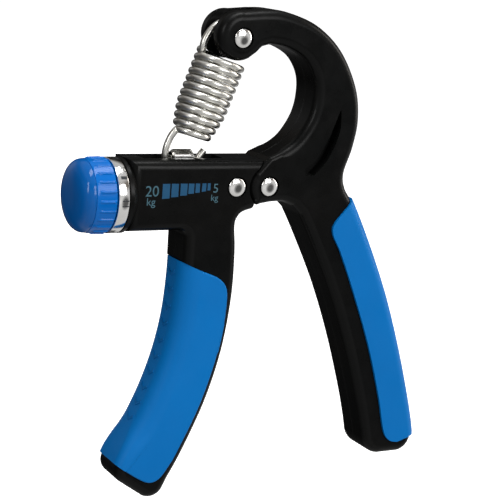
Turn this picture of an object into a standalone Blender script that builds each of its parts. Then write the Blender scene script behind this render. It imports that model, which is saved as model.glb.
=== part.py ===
"""Adjustable hand grip strengthener, in metres, +Z up, origin under the middle of its bounding box.

A hooked rear frame carries the palm handle, and a T shaped lever carries the finger handle and the
strength adjuster. The lever turns on the pivot rivet, against a tension spring that hangs from the hook
and holds the slider in the lever's housing. Outlines are drawn in the X-Z plane, in millimetres from the
pivot's axis, and every piece is placed from the pivot.
"""

import math

import bmesh
import bpy
from mathutils import Matrix, Vector

MM = 0.001
GAP = 0.3  # air between pieces that touch

# Where the pivot's axis lies in the world
PIVOT_X = -0.443
PIVOT_Z = 104.899

# Shells
BODY_HALF = 8.5  # half the thickness of frame and lever
SEAM_HALF = 0.15  # half the joint line between two half shells
EDGE_ROUND = 3.2  # rounding of the shells' outer edges
SKIN = 3.4  # outer face to the floor of a pocket inside

# Hinge
BOSS_R = 7.0
SOCKET_R = 7.45
LINK_RIVET_X = -11.96
LINK_HALF = 1.5  # half the thickness of the steel link
LINK_END_R = 4.2
WASHER_R = 4.3
WASHER_THICK = 1.0

# Rivets
RIVET_HEAD_R = 3.1
RIVET_HEAD_Y = 7.9  # underside of a head, from the middle plane
RIVET_DOME = 1.2
SHANK_R = 1.6
SLEEVE_IN_R = 1.9
SLEEVE_OUT_R = 2.4
DOME_EDGE = 0.35  # straight edge of a head below its dome
PIN_SHORT = 1.5  # what the pin stops short of the sleeve's head
RIVET_BORE_R = 2.7
SEAT_R = 3.6
SEAT_DEPTH = 0.9

# Hook and spring
EAR = (-13.8, 48.9)
EAR_R = 8.0
SPRING_PIN = (-13.66, 48.27)
EAR_SLOT_HALF = 3.3
BUSH_R = 3.5
WIRE_R = 1.15
COIL_TOP = (-16.8, 41.4)
COIL_BOTTOM = (-25.95, 16.1)
COIL_TURNS = 11
COIL_R = 7.33
COIL_END_R = 5.3
TAPER_TURNS = 4
STEPS_PER_TURN = 12
HOOK_R = 5.0  # the upper hook's middle line, round the bush
HOOK_LEG = [(-17.6, 52.6), (-20.1, 51.1), (-22.1, 48.8), (-23.4, 46.3)]
FOOT_PATH = [(-32.05, 16.9), (-33.5, 14.7), (-34.5, 11.9), (-34.7, 9.0), (-34.3, 6.2), (-33.2, 4.3),
             (-31.2, 3.7), (-28.6, 3.6), (-25.8, 3.8), (-23.9, 5.4), (-22.9, 8.2), (-21.0, 11.0)]

# Housing of the adjuster
HOUSING_TOP = 9.0
HOUSING_BOTTOM = -14.1
HOUSING_LEFT = -49.4
CHANNEL_LEFT = -47.2
CHANNEL_RIGHT = -18.7
CHANNEL_BOTTOM = -10.6
CHANNEL_TOP = 6.2
CHANNEL_HALF = 5.5
SLOT_HALF = 3.8
SLOT_LEFT = -43.6
SLOT_RIGHT = -15.6
SLOT_FLOOR = 5.0
FOOT_ROOM = (-17.2, 2.1)  # right end and floor of the spring foot's room past the channel
FOOT_ROOM_HALF = 1.8

# Adjuster, along X at this height
AXIS_Z = -3.3
RING_R = 12.2
FLANGE_LEFT = -51.2
SPIGOT_R = 9.3
SPIGOT_LEFT = -54.6
SPIGOT_BORE_R = 8.2
FLARE_END = -46.6  # where the flange runs out into the housing
SCREW_R = 3.0
NECK_R = 2.4  # the screw where the retaining ring sits
PILOT_R = 1.8  # the screw's far end
HEX_R = 3.4  # across the corners of the hexagon that drives the screw, from its axis
THREAD_PITCH = 2.0
THREAD_DEPTH = 0.45
THREAD_LEFT = -45.4
THREAD_TURNS = 12
SLIDER_X = -29.0
NUT_HALF = 4.0
BARREL_Z = 8.3
BARREL_R = 3.3
BARREL_HALF = 3.8
BARREL_CHAMFER = 0.5
BARREL_BORE_R = 1.5
KNOB_R = 12.1
KNOB_RIGHT = -55.5
KNOB_RIM = -62.3
RIB_COUNT = 24
RIB_HEIGHT = 0.35

# Grips
PROUD = 0.8  # how far a grip stands out of its handle
RECESS = 1.0  # how deep the handle is cut back under it


# ---------------------------------------------------------------- outlines

def arc(centre, radius, start, end, steps):
    """Points on a circle, angles in degrees anticlockwise from +X."""
    points = []
    for i in range(steps + 1):
        angle = math.radians(start + (end - start) * i / steps)
        points.append((centre[0] + radius * math.cos(angle), centre[1] + radius * math.sin(angle)))
    return points


def smooth(points, steps=2):
    """A Catmull-Rom curve through the points."""
    ends = [points[0], *points, points[-1]]
    curve = []
    for a, b, c, d in zip(ends, ends[1:], ends[2:], ends[3:]):
        for i in range(steps):
            t = i / steps
            curve.append(tuple(
                0.5 * (2 * b[k] + (c[k] - a[k]) * t + (2 * a[k] - 5 * b[k] + 4 * c[k] - d[k]) * t * t
                       + (3 * b[k] - a[k] - 3 * c[k] + d[k]) * t ** 3)
                for k in (0, 1)))
    curve.append(points[-1])
    return curve


def inset(outline, distance):
    """The anticlockwise outline moved inwards, or outwards where the distance is negative.

    The distance is one number, or one for each point.
    """
    moved = []
    count = len(outline)
    for i in range(count):
        before = Vector(outline[i]) - Vector(outline[i - 1])
        after = Vector(outline[(i + 1) % count]) - Vector(outline[i])
        before.normalize()
        after.normalize()
        inward = Vector((-before.y - after.y, before.x + after.x))
        inward.normalize()
        lean = max(0.5, inward.dot(Vector((-before.y, before.x))))
        step = distance[i] if isinstance(distance, list) else distance
        point = Vector(outline[i]) + inward * (step / lean)
        moved.append((point.x, point.y))
    return moved


def rounding_at(outline, most):
    """The edge rounding that each point of the outline has room for, less at a tight corner."""
    count = len(outline)
    rounds = [most] * count
    for _ in range(40):
        loop = inset(outline, rounds)
        tight = []
        for i in range(count):
            edge = Vector(outline[i]) - Vector(outline[i - 1])
            moved = Vector(loop[i]) - Vector(loop[i - 1])
            if moved.dot(edge) < 0.2 * edge.length_squared:
                tight.append(i)
        if not tight:
            break
        for i in tight:
            for j in range(i - 3, i + 3):
                rounds[j % count] *= 0.93
    return rounds


FRAME_UNDER_BOSS = [(-5.3, -4.5), (-4.6, -5.7), (-3.3, -6.1), (-1.0, -5.9), (2.5, -5.4), (7.0, -5.5),
                    (10.6, -6.9)]
FRAME_INNER_HANDLE = [(13.4, -9.5), (18.5, -18.4), (28.0, -36.8), (36.1, -56.3), (43.0, -76.6),
                      (46.4, -88.6)]
FRAME_FOOT = arc((54.9, -90.9), 7.8, 190, 262, 6) + arc((61.6, -92.4), 6.3, -82, 12, 8)
FRAME_OUTER_HANDLE = [(67.0, -87.6), (64.8, -79.7), (60.5, -66.0), (55.8, -52.6), (50.7, -39.6),
                      (44.9, -27.0), (38.7, -14.8), (33.6, -5.6)]
FRAME_BACK = [(30.5, -0.9), (29.6, 4.2), (32.2, 12.6), (33.5, 22.4), (31.4, 33.4), (24.4, 45.3),
              (14.4, 53.3), (2.0, 57.3), (-6.5, 57.5)]
HOOK_INNER = [(-3.0, 46.4), (3.6, 45.5), (10.6, 42.0), (14.7, 36.1), (15.5, 29.5), (14.0, 22.5),
              (9.6, 15.8), (4.0, 11.8), (-0.5, 9.75)]


def frame_outline():
    """Hook, hinge boss and palm handle, anticlockwise from under the boss."""
    outline = smooth(FRAME_UNDER_BOSS)
    outline += smooth(FRAME_INNER_HANDLE) + FRAME_FOOT + smooth(FRAME_OUTER_HANDLE + FRAME_BACK)
    outline += arc(EAR, EAR_R, 84, 296, 16)
    outline += [(-7.3, 43.9), (-5.5, 45.7)]
    outline += smooth(HOOK_INNER)
    outline += arc((0, 0), BOSS_R, 128, 214, 8)
    return outline


def palm_handle():
    """The palm handle alone, closed across the frame above its grip."""
    outer = smooth(FRAME_OUTER_HANDLE + FRAME_BACK[:3])
    return smooth(FRAME_INNER_HANDLE) + FRAME_FOOT + outer + [(12.0, 9.0)]


LEVER_FRONT = [(-28.9, -17.2), (-28.9, -30.0), (-29.9, -43.8), (-32.3, -56.2), (-36.0, -67.7),
               (-40.9, -78.7), (-46.9, -89.4)]
LEVER_FOOT = arc((-43.6, -94.4), 5.1, 162, 228, 5) + arc((-35.8, -99.7), 5.2, 232, 330, 8)
LEVER_BACK = [(-29.6, -98.8), (-24.6, -89.5), (-17.4, -73.0), (-12.4, -55.6), (-10.0, -37.6),
              (-9.9, -22.3), (-10.7, -13.3), (-10.0, -10.3), (-8.0, -8.5), (-3.0, -7.2)]


def lever_outline():
    """Adjuster housing and finger handle, anticlockwise from the hinge end of the housing's top."""
    outline = [(3.0, HOUSING_TOP), (-14.0, HOUSING_TOP), (-30.0, HOUSING_TOP)]
    outline += [(HOUSING_LEFT, HOUSING_TOP), (HOUSING_LEFT, AXIS_Z), (HOUSING_LEFT, HOUSING_BOTTOM)]
    outline += [(-40.0, HOUSING_BOTTOM)]
    outline += arc((-31.4, -16.6), 2.5, 90, 12, 4)
    outline += smooth(LEVER_FRONT) + LEVER_FOOT + smooth(LEVER_BACK)
    outline += [(3.0, -5.0), (6.0, 0.0), (6.0, 5.0)]
    return outline


def socket_outline():
    """What the frame's boss needs clear at the hinge end of the lever."""
    return arc((0, 0), SOCKET_R, 128, 226, 9) + [(-5.0, -12.0), (20.0, -12.0), (20.0, 20.0), (7.0, 20.0)]


def finger_handle():
    """The finger handle alone, closed across the lever above its grip."""
    return [(-28.9, -9.0)] + smooth(LEVER_FRONT) + LEVER_FOOT + smooth(LEVER_BACK[:7]) + [(-10.9, -9.0)]


# ---------------------------------------------------------------- meshes and objects

def clear_scene():
    for obj in list(bpy.data.objects):
        bpy.data.objects.remove(obj)


def material(name, colour, roughness, metallic=0.0):
    made = bpy.data.materials.new(name)
    made.use_nodes = True
    shader = made.node_tree.nodes["Principled BSDF"]
    shader.inputs["Base Color"].default_value = (*colour, 1.0)
    shader.inputs["Roughness"].default_value = roughness
    shader.inputs["Metallic"].default_value = metallic
    return made


def add(name, mesh, parent=None, paint=None):
    """An object for the mesh, whose coordinates are millimetres from the parent's origin."""
    mesh.transform(Matrix.Scale(MM, 4))
    if paint:
        mesh.materials.clear()
        mesh.materials.append(paint)
    obj = bpy.data.objects.new(name, mesh)
    bpy.context.scene.collection.objects.link(obj)
    obj.parent = parent
    return obj


def axis_empty(name, x, z, parent=None):
    """An empty on a joint's axis, placed in millimetres from its parent."""
    obj = bpy.data.objects.new(name, None)
    bpy.context.scene.collection.objects.link(obj)
    obj.location = (x * MM, 0.0, z * MM)
    obj.parent = parent
    return obj


def mesh_of(name, rings):
    """A solid through equal rings of points, with a face over the first and the last."""
    bm = bmesh.new()
    rows = [[bm.verts.new(point) for point in ring] for ring in rings]
    count = len(rows[0])
    for low, high in zip(rows, rows[1:]):
        for i in range(count):
            j = (i + 1) % count
            bm.faces.new((low[i], low[j], high[j], high[i]))
    bm.faces.new(rows[0][::-1])
    bm.faces.new(rows[-1])
    bmesh.ops.recalc_face_normals(bm, faces=bm.faces)
    mesh = bpy.data.meshes.new(name)
    bm.to_mesh(mesh)
    bm.free()
    return mesh


def prism(name, outline, y_from, y_to):
    """The outline extruded along Y."""
    return mesh_of(name, [[(x, y, z) for x, z in outline] for y in (y_from, y_to)])


def rounded_slab(name, outline, y_flat, y_outer, rounding, steps=2):
    """The outline extruded from a flat side to an outer side whose edge is rounded."""
    side = math.copysign(1.0, y_outer - y_flat)
    flat = [(x, y_flat, z) for x, z in outline]
    return mesh_of(name, [flat] + rounded_edge(outline, y_outer, side, rounding, steps))


def rounded_edge(outline, y_outer, side, rounding, steps):
    """Rings from where the rounding starts to the flat outer face."""
    rounds = rounding_at(outline, rounding)
    rings = []
    for i in range(steps + 1):
        angle = math.pi / 2 * i / steps
        loop = inset(outline, [r * (1 - math.cos(angle)) for r in rounds])
        drop = 1 - math.sin(angle)
        rings.append([(x, y_outer - side * r * drop, z) for (x, z), r in zip(loop, rounds)])
    return rings


def lathe(name, profile, segments, axis, centre=(0.0, 0.0, 0.0), swell=None):
    """A profile of (radius, along) points turned round the axis; radius 0 makes a point on it.

    swell(radius, along, angle) may change the radius round the circle.
    """
    bm = bmesh.new()
    rows = []
    for radius, along in profile:
        if radius == 0:
            rows.append([bm.verts.new(on_axis(axis, centre, 0, along, 0))])
            continue
        row = []
        for i in range(segments):
            angle = 2 * math.pi * i / segments
            wide = swell(radius, along, angle) if swell else radius
            row.append(bm.verts.new(on_axis(axis, centre, wide, along, angle)))
        rows.append(row)
    whole = profile[0][0] != 0
    for first, second in list(zip(rows, rows[1:])) + ([(rows[-1], rows[0])] if whole else []):
        for i in range(segments):
            j = (i + 1) % segments
            if len(first) == 1:
                bm.faces.new((first[0], second[i], second[j]))
            elif len(second) == 1:
                bm.faces.new((first[i], first[j], second[0]))
            else:
                bm.faces.new((first[i], first[j], second[j], second[i]))
    bmesh.ops.recalc_face_normals(bm, faces=bm.faces)
    mesh = bpy.data.meshes.new(name)
    bm.to_mesh(mesh)
    bm.free()
    return mesh


def on_axis(axis, centre, radius, along, angle):
    a = radius * math.cos(angle)
    b = radius * math.sin(angle)
    if axis == "X":
        return centre[0] + along, centre[1] + a, centre[2] + b
    return centre[0] + a, centre[1] + along, centre[2] + b


def box(name, low, high):
    corners = [(low[0], low[2]), (high[0], low[2]), (high[0], high[2]), (low[0], high[2])]
    return prism(name, corners, low[1], high[1])


def boolean(obj, mesh, operation="DIFFERENCE"):
    """Cuts, joins or intersects the object with a mesh in millimetres, and applies the result."""
    tool = add("tool", mesh)
    modifier = obj.modifiers.new("boolean", "BOOLEAN")
    modifier.operation = operation
    modifier.solver = "EXACT"
    modifier.object = tool
    bpy.context.view_layer.update()
    evaluated = obj.evaluated_get(bpy.context.evaluated_depsgraph_get())
    result = bpy.data.meshes.new_from_object(evaluated)
    obj.modifiers.clear()
    weld(result)
    obj.data = result
    bpy.data.objects.remove(tool)
    bpy.data.meshes.remove(mesh)


def weld(mesh):
    """Joins points that a Boolean left a thousandth of a millimetre apart."""
    bm = bmesh.new()
    bm.from_mesh(mesh)
    bmesh.ops.remove_doubles(bm, verts=bm.verts, dist=1e-6)
    bmesh.ops.dissolve_degenerate(bm, edges=bm.edges, dist=1e-6)
    bm.to_mesh(mesh)
    bm.free()


def place(obj, name, parent, paint):
    obj.name = name
    obj.data.name = name
    obj.parent = parent
    obj.data.materials.clear()
    obj.data.materials.append(paint)
    shade(obj)


def shade(obj, degrees=35):
    obj.data.shade_smooth()
    obj.data.set_sharp_from_angle(angle=math.radians(degrees))


def mirrored(obj, name, parent, paint):
    """The same shell on the other side of the middle plane."""
    mesh = obj.data.copy()
    mesh.transform(Matrix.Scale(-1, 4, Vector((0, 1, 0))))
    mesh.flip_normals()
    other = bpy.data.objects.new(name, mesh)
    bpy.context.scene.collection.objects.link(other)
    place(other, name, parent, paint)
    return other


# ---------------------------------------------------------------- shells

GRIP_EDGE_REAR = [(33.3, -4.6), (28.6, -9.7), (25.8, -13.4), (25.8, -16.9), (29.6, -23.6),
                  (36.5, -38.5), (44.2, -57.0), (50.5, -75.9), (54.1, -89.3), (57.1, -93.4),
                  (60.6, -94.3), (66.5, -92.5)]
GRIP_EDGE_FRONT = [(-32.0, -23.6), (-28.4, -24.9), (-23.5, -27.1), (-16.6, -30.0), (-13.5, -33.4),
                   (-12.9, -38.5), (-13.5, -47.0), (-15.8, -58.9), (-20.6, -74.0), (-27.4, -88.6),
                   (-31.2, -95.1), (-34.0, -98.2), (-37.4, -99.0), (-41.4, -97.2), (-47.8, -92.9),
                   (-52.0, -90.0)]


def rear_zone():
    """The part of the palm handle that the rear grip covers."""
    return smooth(GRIP_EDGE_REAR[:-1]) + [GRIP_EDGE_REAR[-1], (76.0, -92.5), (76.0, -60.0), (44.0, -3.0)]


def front_zone():
    """The part of the finger handle that the front grip covers."""
    return ([(-60.0, -86.0), GRIP_EDGE_FRONT[-1]] + smooth(GRIP_EDGE_FRONT[1:-1])[::-1]
            + [GRIP_EDGE_FRONT[0], (-60.0, -23.6)])


def cut_grip_recess(shell, handle, zone):
    """Steps the handle back under its grip."""
    ring = add("ring", prism("ring", zone, -20, 20))
    core = rounded_slab("core", inset(handle, RECESS), 5.0, -BODY_HALF + RECESS - GAP, EDGE_ROUND)
    boolean(ring, core)
    mesh = ring.data.copy()
    mesh.transform(Matrix.Scale(1 / MM, 4))
    bpy.data.objects.remove(ring)
    boolean(shell, mesh)


def cut_rivet_seat(shell, x, z):
    bore = [(0, -20), (RIVET_BORE_R, -20), (RIVET_BORE_R, 5), (0, 5)]
    boolean(shell, lathe("bore", bore, 16, "Y", (x, 0, z)))
    depth = -BODY_HALF + SEAT_DEPTH
    seat = [(0, -20), (SEAT_R, -20), (SEAT_R, depth), (0, depth)]
    boolean(shell, lathe("seat", seat, 24, "Y", (x, 0, z)))


# The hollow of the hook, and the inner and outer walls and the levels of the palm handle's hollows
HOOK_POCKET_OUTER = [(30.2, 8.0), (31.3, 22.4), (29.2, 32.6), (22.9, 43.6), (13.4, 51.0), (4.0, 54.4)]
HOOK_POCKET_INNER = [(4.6, 47.8), (11.9, 44.0), (16.8, 37.0), (17.8, 29.5), (16.6, 22.0), (14.6, 15.4)]
HANDLE_POCKET_INNER = [(12.5, -1.0), (20.3, -16.5), (30.1, -36.4), (38.2, -56.0), (45.2, -76.6),
                       (48.6, -88.6)]
HANDLE_POCKET_OUTER = [(26.0, 0.5), (34.4, -13.4), (46.2, -38.6), (56.3, -65.6), (63.2, -87.6)]
HANDLE_POCKET_LEVELS = [(-2.0, -24.0), (-27.0, -57.0), (-60.0, -92.0)]

# The shallow crescent beside the hinge, by its outer and inner sides
CRESCENT_OUTER = [(25.3, 26.6), (25.6, 18.4), (21.9, 9.2), (17.0, 3.6)]
CRESCENT_INNER = [(13.6, 3.2), (13.2, 6.0), (17.2, 9.2), (21.6, 17.2)]
CRESCENT_DEPTH = 0.9

# Where the coil's end comes out of the ear
EAR_SLOT = [(-25.0, 37.0), (-6.6, 37.0), (-6.6, 62.0), (-25.0, 62.0)]


def frame_pockets():
    """Hollows inside the frame's half shells, with ribs between them."""
    pockets = [smooth(HOOK_POCKET_OUTER) + smooth(HOOK_POCKET_INNER)]
    for top, bottom in HANDLE_POCKET_LEVELS:
        middle = (top + bottom) / 2
        left = [at_height(HANDLE_POCKET_INNER, z) for z in (top, middle, bottom)]
        right = [at_height(HANDLE_POCKET_OUTER, z) for z in (bottom, middle, top)]
        pockets.append(left + right)
    return pockets


def at_height(line, z):
    """The point of a falling line at this height."""
    for (x0, z0), (x1, z1) in zip(line, line[1:]):
        if z0 >= z >= z1:
            return x0 + (x1 - x0) * (z0 - z) / (z0 - z1), z
    end = line[0] if z > line[0][1] else line[-1]
    return end[0], z


def frame_shell(parent, paint):
    outline = frame_outline()
    shell = add("shell", rounded_slab("shell", outline, -SEAM_HALF, -BODY_HALF, EDGE_ROUND))
    cut_grip_recess(shell, palm_handle(), rear_zone())
    for pocket in frame_pockets():
        boolean(shell, prism("pocket", pocket, 5, -BODY_HALF + SKIN))
    boolean(shell, prism("ear_slot", EAR_SLOT, 5, -EAR_SLOT_HALF))
    reach = LINK_END_R + 0.5
    link_room = [(-12, -12), (-1, -12)] + arc((0, 0), reach, -80, 100, 10) + [(-12, reach)]
    boolean(shell, prism("link_room", link_room, 5, -LINK_HALF - GAP))
    depth = -LINK_HALF - WASHER_THICK - 2 * GAP
    wide = WASHER_R + GAP
    boolean(shell, lathe("washer", [(0, 5), (wide, 5), (wide, depth), (0, depth)], 24, "Y"))
    crescent = smooth(CRESCENT_OUTER) + smooth(CRESCENT_INNER)
    boolean(shell, prism("crescent", crescent, -20, -BODY_HALF + CRESCENT_DEPTH))
    cut_rivet_seat(shell, 0, 0)
    cut_rivet_seat(shell, *SPRING_PIN)
    place(shell, "frame_half_near", parent, paint)
    mirrored(shell, "frame_half_far", parent, paint)


def bore_along_x(radius, start, end, segments, height=AXIS_Z):
    """A round tool for a bore along X, on the adjuster's axis unless another height is given."""
    profile = [(0, start), (radius, start), (radius, end), (0, end)]
    return lathe("bore", profile, segments, "X", (0, 0, height))


# Hollows of the lever's handle, with ribs between them
LEVER_POCKETS = [[(-26.5, -17.0), (-14.0, -17.0), (-13.2, -44.0), (-27.4, -44.0)],
                 [(-27.6, -47.0), (-13.6, -47.0), (-18.6, -68.0), (-33.4, -68.0)],
                 [(-34.6, -71.0), (-20.0, -71.0), (-32.0, -97.0), (-40.0, -97.0), (-44.5, -89.5)]]


def lever_shell(parent, paint):
    outline = lever_outline()
    shell = add("shell", rounded_slab("shell", outline, -SEAM_HALF, -BODY_HALF, EDGE_ROUND))
    boolean(shell, prism("socket", socket_outline(), -20, 5))
    flange = [(0, FLANGE_LEFT), (RING_R, FLANGE_LEFT), (RING_R, FLANGE_LEFT + 1.6), (8.2, FLARE_END),
              (0, FLARE_END)]
    boolean(shell, half_turned(flange), "UNION")
    spigot = [(0, SPIGOT_LEFT), (SPIGOT_R, SPIGOT_LEFT), (SPIGOT_R, -50.0), (0, -50.0)]
    boolean(shell, half_turned(spigot), "UNION")
    boolean(shell, bore_along_x(SPIGOT_BORE_R, -60, FLANGE_LEFT + 0.2, 32))
    boolean(shell, bore_along_x(SCREW_R + GAP, -60, -40, 24))
    cut_grip_recess(shell, finger_handle(), front_zone())
    low = (CHANNEL_LEFT, -CHANNEL_HALF, CHANNEL_BOTTOM)
    boolean(shell, box("channel", low, (CHANNEL_RIGHT, 5, CHANNEL_TOP)))
    boolean(shell, box("slot", (SLOT_LEFT, -SLOT_HALF, SLOT_FLOOR), (SLOT_RIGHT, 5, 20)))
    boolean(shell, box("foot_room", (-20, -FOOT_ROOM_HALF, FOOT_ROOM[1]), (FOOT_ROOM[0], 5, CHANNEL_TOP)))
    boolean(shell, bore_along_x(PILOT_R + GAP, -21, FOOT_ROOM[0], 16))
    link_room = arc((LINK_RIVET_X, 0), LINK_END_R + GAP, 90, 270, 8) + [(5, -LINK_END_R - GAP),
                                                                       (5, LINK_END_R + GAP)]
    boolean(shell, prism("link_room", link_room, 5, -LINK_HALF - GAP))
    for pocket in LEVER_POCKETS:
        boolean(shell, prism("pocket", pocket, 5, -BODY_HALF + SKIN))
    cut_rivet_seat(shell, LINK_RIVET_X, 0)
    place(shell, "lever_half_near", parent, paint)
    mirrored(shell, "lever_half_far", parent, paint)


def half_turned(profile):
    """A solid turned about the adjuster's axis, kept on the near side of the seam."""
    whole = add("turned", lathe("turned", profile, 48, "X", (0, 0, AXIS_Z)))
    boolean(whole, box("keep", (-70, -20, -30), (0, -SEAM_HALF, 30)), "INTERSECT")
    mesh = whole.data.copy()
    mesh.transform(Matrix.Scale(1 / MM, 4))
    bpy.data.objects.remove(whole)
    return mesh


def grip(name, outline, zone, parent, paint):
    """A soft cover round one side of a handle, as one closed solid."""
    envelope = inset(outline, -PROUD)
    cover = add("cover", two_sided_slab("cover", envelope, BODY_HALF + PROUD, EDGE_ROUND + PROUD))
    boolean(cover, prism("zone", inset(zone, GAP), -20, 20), "INTERSECT")
    core_half = BODY_HALF - RECESS + 2 * GAP
    boolean(cover, two_sided_slab("core", inset(outline, RECESS - GAP), core_half, EDGE_ROUND))
    place(cover, name, parent, paint)


def two_sided_slab(name, outline, half, rounding, steps=2):
    """The outline extruded to both sides of the middle plane, with both edges rounded."""
    near = rounded_edge(outline, -half, -1.0, rounding, steps)
    far = rounded_edge(outline, half, 1.0, rounding, steps)
    return mesh_of(name, near[::-1] + far)


# ---------------------------------------------------------------- hinge, rivets and spring

def rivet(name, x, z, parent, paint):
    """A domed pin from the near side, pressed into a domed sleeve from the far side."""
    dome = [(RIVET_HEAD_R * math.cos(a), -RIVET_HEAD_Y - DOME_EDGE - (RIVET_DOME - DOME_EDGE) * math.sin(a))
            for a in (math.pi / 2 * i / 3 for i in range(4))]
    tip = RIVET_HEAD_Y - PIN_SHORT
    pin = [(0, tip), (SHANK_R, tip), (SHANK_R, -RIVET_HEAD_Y), (RIVET_HEAD_R, -RIVET_HEAD_Y)]
    pin += [*dome[:-1], (0, dome[-1][1])]
    obj = add(name + "_pin", lathe(name, pin, 16, "Y", (x, 0, z)), parent, paint)
    shade(obj)
    far = [(r, -y) for r, y in dome]
    mouth = -RIVET_HEAD_Y + GAP
    sleeve = [(0, tip + GAP), (SLEEVE_IN_R, tip + GAP), (SLEEVE_IN_R, mouth), (SLEEVE_OUT_R, mouth),
              (SLEEVE_OUT_R, RIVET_HEAD_Y), (RIVET_HEAD_R, RIVET_HEAD_Y), *far[:-1], (0, far[-1][1])]
    obj = add(name + "_sleeve", lathe(name, sleeve, 16, "Y", (x, 0, z)), parent, paint)
    shade(obj)


def ring_piece(name, inner, outer, start, end, axis, centre, parent, paint, segments=20):
    profile = [(inner, start), (outer, start), (outer, end), (inner, end)]
    obj = add(name, lathe(name, profile, segments, axis, centre), parent, paint)
    shade(obj)
    return obj


def hinge_link(parent, paint):
    outline = (arc((LINK_RIVET_X, 0), LINK_END_R, 90, 270, 10)
               + arc((0, 0), LINK_END_R, -90, 90, 10))
    link = add("hinge_link", prism("link", outline, -LINK_HALF, LINK_HALF))
    hole = [(0, -9), (RIVET_BORE_R, -9), (RIVET_BORE_R, 9), (0, 9)]
    for x in (LINK_RIVET_X, 0):
        boolean(link, lathe("hole", hole, 20, "Y", (x, 0, 0)))
    place(link, "hinge_link", parent, paint)


def wire(name, path, radius, parent, paint, sides=6):
    """Round wire swept along a path of points, keeping its section from twisting."""
    points = [Vector(p) for p in path]
    rings = []
    across = None
    for i, point in enumerate(points):
        along = points[min(i + 1, len(points) - 1)] - points[max(i - 1, 0)]
        along.normalize()
        if across is None:
            across = along.orthogonal()
        across = across - along * across.dot(along)
        across.normalize()
        other = along.cross(across)
        rings.append([tuple(point + (across * math.cos(t) + other * math.sin(t)) * radius)
                      for t in (2 * math.pi * k / sides for k in range(sides))])
    obj = add(name, mesh_of(name, rings), parent, paint)
    shade(obj, 60)
    return obj


def coil_point(turn):
    """A point of the right-handed coil, by turns from the top, starting and ending on the knob's side."""
    top = Vector((COIL_TOP[0], 0, COIL_TOP[1]))
    bottom = Vector((COIL_BOTTOM[0], 0, COIL_BOTTOM[1]))
    down = (bottom - top).normalized()
    across = Vector((0, 1, 0))
    side = across.cross(down)
    left = max(0.0, turn - (COIL_TURNS - TAPER_TURNS)) / TAPER_TURNS
    radius = COIL_R + (COIL_END_R - COIL_R) * left ** 1.4
    angle = 2 * math.pi * turn
    spot = top.lerp(bottom, turn / COIL_TURNS)
    return spot + side * radius * math.cos(angle) + across * radius * math.sin(angle)


def spring(parent, foot_parent, paint):
    """The coil with its upper hook over the bush, and the lower hook under the anchor."""
    steps = COIL_TURNS * STEPS_PER_TURN
    coil = [tuple(coil_point(COIL_TURNS * i / steps)) for i in range(steps + 1)]
    hook = [(x, 0.0, z) for x, z in arc(SPRING_PIN, HOOK_R, -35, 112, 9) + HOOK_LEG]
    wire("spring", hook + coil, WIRE_R, parent, paint)
    wire("spring_foot", [(x, 0.0, z) for x, z in smooth(FOOT_PATH)], WIRE_R, foot_parent, paint)


# ---------------------------------------------------------------- adjuster

def hexagon(centre, radius):
    return arc(centre, radius, 0, 300, 5)


def adjuster_screw(parent, paint):
    """Hexagon end in the knob, thrust collar, journal, thread and end journal."""
    profile = [(0, -55.4), (5.0, -55.4), (5.0, -53.1), (SCREW_R, -53.1), (SCREW_R, -46.9), (NECK_R, -46.9),
               (NECK_R, -45.6)]
    root = SCREW_R - THREAD_DEPTH
    for i in range(THREAD_TURNS):
        at = THREAD_LEFT + i * THREAD_PITCH
        profile += [(root, at), (SCREW_R, at + 0.8), (root, at + 1.6)]
    profile += [(PILOT_R, -21.2), (PILOT_R, -17.5), (0, -17.5)]
    screw = add("screw", lathe("screw", profile, 12, "X"))
    drive = mesh_of("drive", [[(x, y, z) for y, z in hexagon((0, 0), HEX_R)] for x in (-59.2, -55.2)])
    boolean(screw, drive, "UNION")
    boolean(screw, bore_along_x(1.6, -70, -53.0, 16, 0.0))
    place(screw, "adjuster_screw", parent, paint)


def knob(parent, paint, cap_paint, steel):
    """Ribbed knob with a hexagon hub, its domed cap, and the screw that holds it."""
    def ribbed(radius, along, angle):
        middle = KNOB_RIM + 1.0 < along < KNOB_RIGHT - 0.2
        if radius < KNOB_R - 0.1 or not middle:
            return radius
        return radius + (RIB_HEIGHT if round(angle / (2 * math.pi) * RIB_COUNT * 3) % 3 == 0 else 0.0)

    profile = [(11.6, KNOB_RIM), (11.9, KNOB_RIM + 0.4), (KNOB_R, KNOB_RIM + 0.9), (KNOB_R, KNOB_RIM + 1.4),
               (KNOB_R, KNOB_RIGHT - 0.9), (11.9, KNOB_RIGHT), (10.2, KNOB_RIGHT), (10.2, -57.8),
               (4.9, -57.8), (4.9, -55.9), (2.0, -55.9), (2.0, -59.6), (10.2, -59.6), (10.2, KNOB_RIM)]
    body = add("knob", lathe("knob", profile, RIB_COUNT * 3, "X", swell=ribbed))
    corners = hexagon((0, 0), HEX_R + GAP)
    boolean(body, mesh_of("drive", [[(x, y, z) for y, z in corners] for x in (-59.5, -50)]))
    place(body, "knob_shell", parent, paint)

    start = KNOB_RIM - GAP
    dome = []
    for i in range(7):
        t = math.pi / 2 * i / 6
        dome.append((11.5 * math.cos(t) ** 0.8, start - 0.6 - 4.6 * math.sin(t) ** 0.9))
    outer = [(11.5, start), *dome[:-1], (0, dome[-1][1])]
    inner = [(0, -65.6), (6.0, -65.2), (8.4, -64.0), (8.6, -60.4), (9.9, -60.4), (9.9, start)]
    cap = add("knob_cap", lathe("knob_cap", inner + outer, 32, "X"), parent, cap_paint)
    shade(cap, 50)

    head = [(0, -61.9), (2.2, -61.9), (2.9, -61.3), (2.9, -59.9), (1.3, -59.9), (1.3, -53.6), (0, -53.6)]
    fixing = add("knob_screw", lathe("knob_screw", head[::-1], 16, "X"), parent, steel)
    shade(fixing)


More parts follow.
